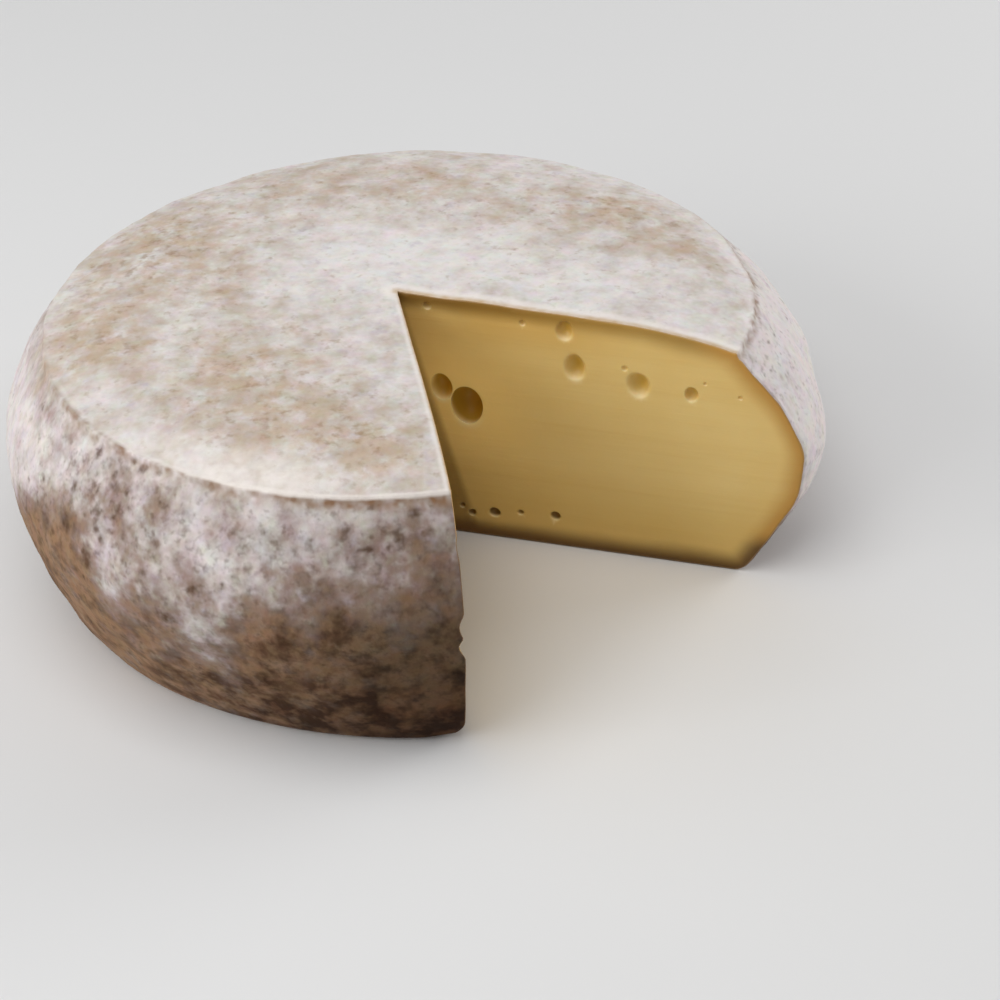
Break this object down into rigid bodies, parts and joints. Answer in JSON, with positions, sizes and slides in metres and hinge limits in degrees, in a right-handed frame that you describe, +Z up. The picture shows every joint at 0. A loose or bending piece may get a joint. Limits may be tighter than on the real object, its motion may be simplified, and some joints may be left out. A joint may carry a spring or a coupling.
{
  "type": "tomme cheese",
  "caption": "Thick round wheel of tomme cheese in a mottled grey rind, with a wedge cut out so that its yellow paste and round eyes show on the cut faces.",
  "frame": {"origin": "on the flat base, under the middle of the wheel's outline, 2 mm from its own axis", "axes": "+Z up, along the wheel's axis; the cut wedge is missing between -Y and +X, from 85 to 22 degrees clockwise of +X"},
  "size_m": [0.2076, 0.2077, 0.074],
  "materials": {
    "rind": "dry, powdery natural rind in grey and brown; the cut paste is smooth and pale yellow"
  },
  "bodies": {
    "root": {"cheese_wheel": "rind"}
  },
  "joints": []
}
